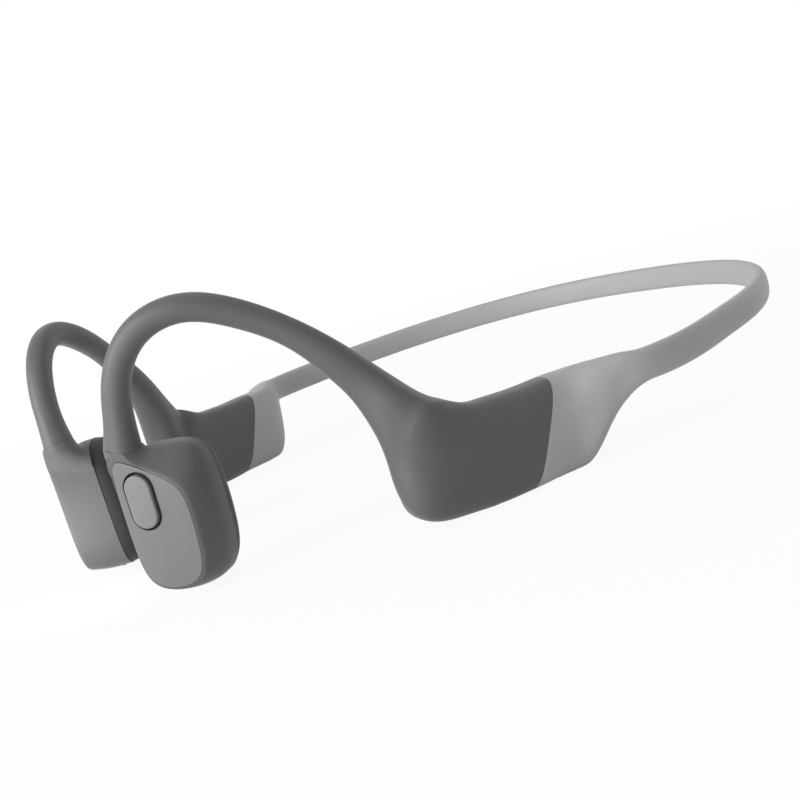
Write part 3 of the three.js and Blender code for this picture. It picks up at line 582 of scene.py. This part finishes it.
def hook_flare(x, depth, z):
    """The hook's end, which starts as the hook's last section. Below it the rear and skin sides
    widen with the square of the drop, and the front and outer sides ease over to the shell's."""
    at = from_transducer(x, depth, z) - END_MIDDLE
    beyond = at @ END_AHEAD
    drop = np.maximum(beyond, 0)
    ease = np.clip(drop / FLARE_DROP, 0, 1) ** 2
    shell_front = (from_transducer(FRONT + 0.3, depth, z) - END_MIDDLE) @ END_FORWARD
    shell_outer = (from_transducer(x, RIM_DEPTH - 0.3, z) - END_MIDDLE) @ END_OUTWARD
    front = (1 - ease) * END_HALF + ease * shell_front
    rear = -END_HALF - 0.30 * drop**2
    outer = (1 - ease) * END_THICK + ease * shell_outer
    inner = -END_THICK - 0.22 * drop**2
    across = (at @ END_FORWARD - (front + rear) / 2) / (front - rear) * 2
    through = (at @ END_OUTWARD - (outer + inner) / 2) / (outer - inner) * 2
    out = (np.abs(across) ** END_SQUARE + np.abs(through) ** END_SQUARE) ** (1 / END_SQUARE)
    return rounded_meet(0.05, (out - 1) * END_THICK, -beyond, FLARE_BOTTOM - z)


def shell(x, depth, z):
    """The pad's outline turns into the plate's with the square of the depth, and the hook's
    flare joins it with a small fillet. Negative inside."""
    share = np.clip(depth / RIM_DEPTH, 0, 1) ** 2
    block = (1 - share) * pad_outline(x, z) + share * (plate_outline(x, z) - PLATE_MARGIN)
    block = rounded_meet(0.5, block, depth - RIM_DEPTH)
    return -rounded_meet(1.2, -block, -hook_flare(x, depth, z))


def reach(solid, depth, columns=ROUND, pole=POLE):
    """How far the surface lies from the pole at each depth and angle, by halving the interval."""
    angle = np.linspace(0, 2 * np.pi, columns, endpoint=False)[None]
    depth = np.asarray(depth, float)[:, None]
    near = np.zeros((depth.shape[0], columns))
    far = np.full_like(near, 24.0)
    for _ in range(30):
        middle = (near + far) / 2
        held = solid(pole[0] + middle * np.cos(angle), depth, pole[1] + middle * np.sin(angle)) < 0
        near = np.where(held, middle, near)
        far = np.where(held, far, middle)
    return near


def ringed(radius, depth, pole=POLE):
    """Places rows of radii about the pole at their depths."""
    angle = np.linspace(0, 2 * np.pi, radius.shape[1], endpoint=False)[None]
    x = pole[0] + radius * np.cos(angle)
    z = pole[1] + radius * np.sin(angle)
    return from_transducer(x, np.asarray(depth, float)[:, None], z)


def flat(outline, inset=0.0):
    """An outline as a solid of any depth, drawn in by inset."""
    return lambda x, depth, z: outline(x, z) + inset + 0 * depth


outer_depths = np.concatenate(
    [np.linspace(PAD_SEAM_DEPTH + 0.04, RIM_DEPTH - 0.7, 60), np.linspace(RIM_DEPTH - 0.65, RIM_DEPTH - 0.02, 14)]
)
room = flat(pad_outline, WALL)
seat = flat(plate_outline, -0.04)
shell_grid = np.concatenate(
    [
        ringed(reach(room, [ROOM_DEPTH]) * 0.02, [ROOM_DEPTH]),
        ringed(reach(room, [ROOM_DEPTH, PAD_SEAM_DEPTH + 0.04]), [ROOM_DEPTH, PAD_SEAM_DEPTH + 0.04]),
        ringed(reach(shell, outer_depths), outer_depths),
        ringed(reach(seat, [RIM_DEPTH - 0.1, SEAT_DEPTH]), [RIM_DEPTH - 0.1, SEAT_DEPTH]),
        ringed(reach(seat, [SEAT_DEPTH]) * 0.02, [SEAT_DEPTH]),
    ]
)
housings = {}
for side, way in SIDES.items():
    housings[side] = build(
        f"transducer_shell_{side}",
        shell_grid * [way, 1, 1],
        dark_silicone,
        body=f"{side}_side",
        replaced=(f"transducer_housing_{side}",),
    )

# Contact pads. The soft cap that rests on the cheekbone and carries the driver's vibration: darker
# silicone, domed a little, glued to the housing's rim along a fine seam.

pad_silicone = moulded("pad_silicone", (0.021, 0.021, 0.0215), 0.6, 0.06)
PAD_DEPTH = -5.0


def pad_solid(x, depth, z):
    """The pad's outline under a shallow dome."""
    dome = PAD_DEPTH - depth + 0.012 * (x - 1.3) ** 2 + 0.006 * z**2
    return rounded_meet(2.6, pad_outline(x, z), dome)


pad_depths = np.linspace(PAD_SEAM_DEPTH - 0.04, PAD_DEPTH + 0.75, 30)
lid = np.linspace(1, 0.02, 24)
edge_reach = reach(pad_solid, pad_depths)
inner_depths = [PAD_DEPTH + WALL + 0.4, PAD_SEAM_DEPTH - 0.04]


def pad_lid():
    """Rows from the dome's rim to its middle, each point raised to the dome's surface."""
    angle = np.linspace(0, 2 * np.pi, ROUND, endpoint=False)[None]
    radius = edge_reach[-1:] * lid[1:, None]
    x = POLE[0] + radius * np.cos(angle)
    z = POLE[1] + radius * np.sin(angle)
    low = np.full_like(x, PAD_DEPTH - 1)
    high = np.full_like(x, PAD_DEPTH + 2)
    for _ in range(30):
        middle = (low + high) / 2
        held = pad_solid(x, middle, z) < 0
        high = np.where(held, middle, high)
        low = np.where(held, low, middle)
    return from_transducer(x, high, z)


hollow = flat(pad_outline, WALL + 0.4)
pad_grid = np.concatenate(
    [
        ringed(reach(hollow, inner_depths[:1]) * 0.02, inner_depths[:1]),
        ringed(reach(hollow, inner_depths), inner_depths),
        ringed(edge_reach, pad_depths),
        pad_lid(),
    ]
)
for side, way in SIDES.items():
    build(
        f"contact_cap_{side}",
        pad_grid * [way, 1, 1],
        pad_silicone,
        body=f"{side}_side",
        replaced=(f"contact_pad_{side}",),
    )

# Face plates. A flat satin panel lies in the housing's outer face; the wearer's left one is pierced
# for the multifunction button.

plate_plastic = moulded("plate_plastic", (0.155, 0.155, 0.158), 0.4, 0.1, mottle=0.015, grain=6e-5, depth=2e-6)
PLATE_MIDDLE = (0.6, -0.4)
PLATE_TOP = 5.0
BEVEL = 0.08


def panel_grid(outline, depths, insets, pole):
    """Rows of one outline at the given depths, drawn in by the insets, closed at both middles."""
    rows = [reach(flat(outline, inset), [depth], 256, pole) for depth, inset in zip(depths, insets)]
    radius = np.vstack([rows[0] * 0.02, *rows, rows[-1] * 0.02])
    return ringed(radius, [depths[0], *depths, depths[-1]], pole)


def bevelled(outline, bottom, top, bevel, pole):
    """A panel with a quarter-round edge at its outer face."""
    angle = np.linspace(0, np.pi / 2, 7)
    depths = [bottom, *(top - bevel + bevel * np.sin(angle))]
    insets = [0, *(bevel * (1 - np.cos(angle)))]
    return panel_grid(outline, depths, insets, pole)


plate_grid = bevelled(plate_outline, SEAT_DEPTH + 0.05, PLATE_TOP, BEVEL, PLATE_MIDDLE)
plates = {}
for side, way in SIDES.items():
    plates[side] = build(
        f"face_panel_{side}",
        plate_grid * [way, 1, 1],
        plate_plastic,
        body=f"{side}_side",
        replaced=(f"face_plate_{side}",),
    )

# Multifunction button. A pill-shaped key stands proud of the left face plate inside a rubber
# gasket, and is pressed towards the ear against a dome switch. The gasket's near-black is partly
# the rubber's own colour and partly painted shade, so that the gap round the key reads dark.

KEY_MIDDLE = (-1.1, 3.9)
KEY_RADIUS = 1.9
KEY_HALF_STRAIGHT = 1.8
KEY_TOP = 5.5
key_plastic = moulded("key_plastic", (0.19, 0.19, 0.193), 0.42, 0.1, mottle=0.012, grain=6e-5, depth=2e-6)


def pill_outline(grow):
    """Distance to a straight line between two round ends, less the radius."""
    def outline(x, z):
        beyond = np.maximum(np.abs(z - KEY_MIDDLE[1]) - KEY_HALF_STRAIGHT, 0)
        return np.hypot(x - KEY_MIDDLE[0], beyond) - KEY_RADIUS - grow

    return outline


def carve(piece, *grids):
    """Cuts closed shapes out of a piece with an exact Boolean, then drops the cutters."""
    for index, grid in enumerate(grids):
        cutter = build(f"cutter_{index}", grid, piece.data.materials[0])
        change = piece.modifiers.new("cut", "BOOLEAN")
        change.operation = "DIFFERENCE"
        change.solver = "EXACT"
        change.object = cutter
        graph = bpy.context.evaluated_depsgraph_get()
        mesh = bpy.data.meshes.new_from_object(piece.evaluated_get(graph))
        piece.modifiers.clear()
        piece.data = mesh
        bpy.data.objects.remove(cutter)
        mesh.shade_smooth()
        mesh.set_sharp_from_angle(angle=np.radians(40))


def key_slab(grow, bottom, top):
    return panel_grid(pill_outline(grow), [bottom, top], [0, 0], KEY_MIDDLE)


key_grid = bevelled(pill_outline(0), 2.9, KEY_TOP, 0.25, KEY_MIDDLE)
build(
    "multifunction_key",
    key_grid,
    key_plastic,
    body="multifunction_button",
    replaced=("multifunction_button",),
)
KEY_GAP = 0.3
carve(plates["left"], key_slab(KEY_GAP + 0.1, 3, 7))
carve(housings["left"], key_slab(KEY_GAP, 1.5, 7), key_slab(0.85, 1.5, 3.1))

# Openings of the right pod and right transducer. Two volume buttons, the charging socket and the
# indicator light come through the pod's underside, and a microphone port is in the transducer's.

POD_TURN = np.radians(12.7)
POD_MIDDLE = np.array([39.62, -9 + stations[1, 1] - BAND_WIDEST - BAND_REACH])


def from_pod(across, along, z):
    """Points given outward, to the rear and up from the pod's middle, on the wearer's right."""
    x = POD_MIDDLE[0] + across * np.cos(POD_TURN) + along * np.sin(POD_TURN)
    y = POD_MIDDLE[1] - across * np.sin(POD_TURN) + along * np.cos(POD_TURN)
    return np.stack(np.broadcast_arrays(-x, y, z), axis=-1)


def pillar(across, along, width, length, bottom, top):
    """A stadium-shaped column, long to the rear."""
    angle = np.linspace(0, 2 * np.pi, 64, endpoint=False)[None]
    straight = length / 2 - width / 2
    x = width / 2 * np.cos(angle)
    y = width / 2 * np.sin(angle) + straight * np.sign(np.sin(angle))
    scale = np.array([0.02, 1, 1, 0.02])[:, None]
    z = np.array([bottom, bottom, top, top])[:, None]
    return from_pod(across + scale * x, along + scale * y, z)


VOLUME_WIDTH, VOLUME_LENGTH, VOLUME_ACROSS = 2.0, 2.5, -0.7
cuts = [pillar(VOLUME_ACROSS, y, VOLUME_WIDTH + 0.5, VOLUME_LENGTH + 0.5, -1, 2.4) for y in (-5.8, -8.9)]
cuts.append(pillar(0, -1.7, 2.8 + 0.3, 4.8 + 0.3, -1, 2.6))
cuts.append(pillar(1.6, -5.6, 1.1, 1.1, -1, 2.6))
carve(skins["right"], *cuts)

MICROPHONE_RADIUS = 0.6
around = np.linspace(0, 2 * np.pi, 48, endpoint=False)[None]
spread = MICROPHONE_RADIUS * np.array([0.02, 1, 1, 0.02])[:, None]
port_heights = np.array([-12, -12, -9.2, -9.2])[:, None]
port = from_transducer(1 + spread * np.cos(around), 0.3 + spread * np.sin(around), port_heights)
carve(housings["right"], mirrored(port))

# Finishes of the carried-over solids: battery, boards, driver stack, switches, contacts and trim.
# Each is the CAD solid itself with the finish of the real piece. The gasket, the foam and the copper
# winding also carry painted shade, as noted at each.


def winding(name):
    """Enamelled copper wire wound in fine even turns. The colour is painted shade between the turns and painted
    highlight on their crowns.
    """
    material, shader, place = begin(name)
    turns_and_painted_light = place.node("ShaderNodeTexWave", {"bands_direction": "Z"}, {"Vector": place, "Scale": 900.0})
    # Darker between the turns and lighter on their crowns: painted shade and highlight
    plug(shader, "Base Color", shades(place, turns_and_painted_light, (0.30, 0.12, 0.05), (0.72, 0.36, 0.18)))
    plug(shader, "Normal", relief(place, turns_and_painted_light, 4e-5))
    shader.inputs["Metallic"].default_value = 0.9
    shader.inputs["Roughness"].default_value = 0.35
    return material


def solder_mask(name):
    """Green circuit board: raised traces under the mask."""
    material, shader, place = begin(name)
    cells = {"Vector": place, "Scale": 1400.0, "Randomness": 0.2}
    traces = place.node("ShaderNodeTexVoronoi", {"feature": "DISTANCE_TO_EDGE"}, cells)
    lines = 1 - (traces > 0.12)
    plug(shader, "Base Color", shades(place, lines, (0.012, 0.07, 0.03), (0.03, 0.16, 0.07)))
    plug(shader, "Roughness", lines * 0.12 + 0.35)
    plug(shader, "Normal", relief(place, lines, 2e-5))
    return material


def foil(name):
    """Laminated foil of a pouch cell, lightly wrinkled."""
    material, shader, place = begin(name)
    wrinkles = noise(place, 0.0025, 5)
    plug(shader, "Base Color", shades(place, wrinkles, (0.50, 0.50, 0.49), (0.66, 0.66, 0.64)))
    plug(shader, "Roughness", wrinkles * 0.3 + 0.25)
    plug(shader, "Normal", relief(place, wrinkles, 1.2e-4))
    shader.inputs["Metallic"].default_value = 0.8
    return material


def foam(name):
    """Closed cell foam: small pits, darkened towards their bottoms with painted shade."""
    material, shader, place = begin(name)
    pits_and_painted_shade = place.node("ShaderNodeTexVoronoi", None, {"Vector": place, "Scale": 3500.0})
    # Colour darker at the bottom of each pit: painted shade
    plug(shader, "Base Color", shades(place, pits_and_painted_shade, (0.015, 0.015, 0.015), (0.05, 0.05, 0.05)))
    plug(shader, "Normal", relief(place, pits_and_painted_shade, 6e-5))
    shader.inputs["Roughness"].default_value = 0.95
    return material


def woven_mesh(name):
    """Acoustic mesh: two crossed sets of fine wires."""
    material, shader, place = begin(name)
    warp = place.node("ShaderNodeTexWave", {"bands_direction": "X"}, {"Vector": place, "Scale": 2500.0})
    weft = place.node("ShaderNodeTexWave", {"bands_direction": "Y"}, {"Vector": place, "Scale": 2500.0})
    weave = warp * weft
    plug(shader, "Base Color", shades(place, weave, (0.02, 0.02, 0.02), (0.22, 0.22, 0.22)))
    plug(shader, "Normal", relief(place, weave, 2e-5))
    shader.inputs["Metallic"].default_value = 0.8
    shader.inputs["Roughness"].default_value = 0.4
    return material


finishes = {
    "dark_skin": moulded("button_silicone", (0.05, 0.05, 0.05), 0.5, 0.1),
    "spring_wire": spring_metal,
    "cable": cable_jacket,
    "anchor": moulded("anchor_nylon", (0.12, 0.12, 0.12), 0.55, 0.0),
    "steel": drawn_metal("stamped_steel", (0.6, 0.6, 0.59), 0.3),
    "magnet": drawn_metal("nickel_plate", (0.7, 0.7, 0.71), 0.2, 0.002),
    "copper": winding("copper_winding"),
    "bracket": moulded("bracket_nylon", (0.05, 0.05, 0.05), 0.5, 0.0),
    "pouch": foil("pouch_foil"),
    "board": solder_mask("circuit_board"),
    "foam": foam("battery_foam_cells"),
    # The gasket's near-black is partly painted shade, which darkens the gap round the key
    "gasket": moulded("gasket_rubber_and_painted_shade", (0.008, 0.008, 0.008), 0.6, 0.0),
    "switch": moulded("switch_plastic", (0.04, 0.04, 0.04), 0.45, 0.0),
    "port": moulded("socket_plastic", (0.02, 0.02, 0.02), 0.4, 0.0),
    "gold": drawn_metal("gold_plate", (0.8, 0.6, 0.28), 0.25, 0.0004),
    "lens": moulded("light_pipe_plastic", (0.8, 0.8, 0.8), 0.25, 0.0, mottle=0.01),
    "mesh": woven_mesh("microphone_weave"),
}
hidden = {name for name, node in frame["nodes"].items() if node.hide_render}
for part in frame["record"]["subparts"]:
    if part["node"] not in hidden:
        node_mesh = frame["nodes"][part["node"]].data
        node_mesh.materials.clear()
        node_mesh.materials.append(finishes[part["material_slot"]])
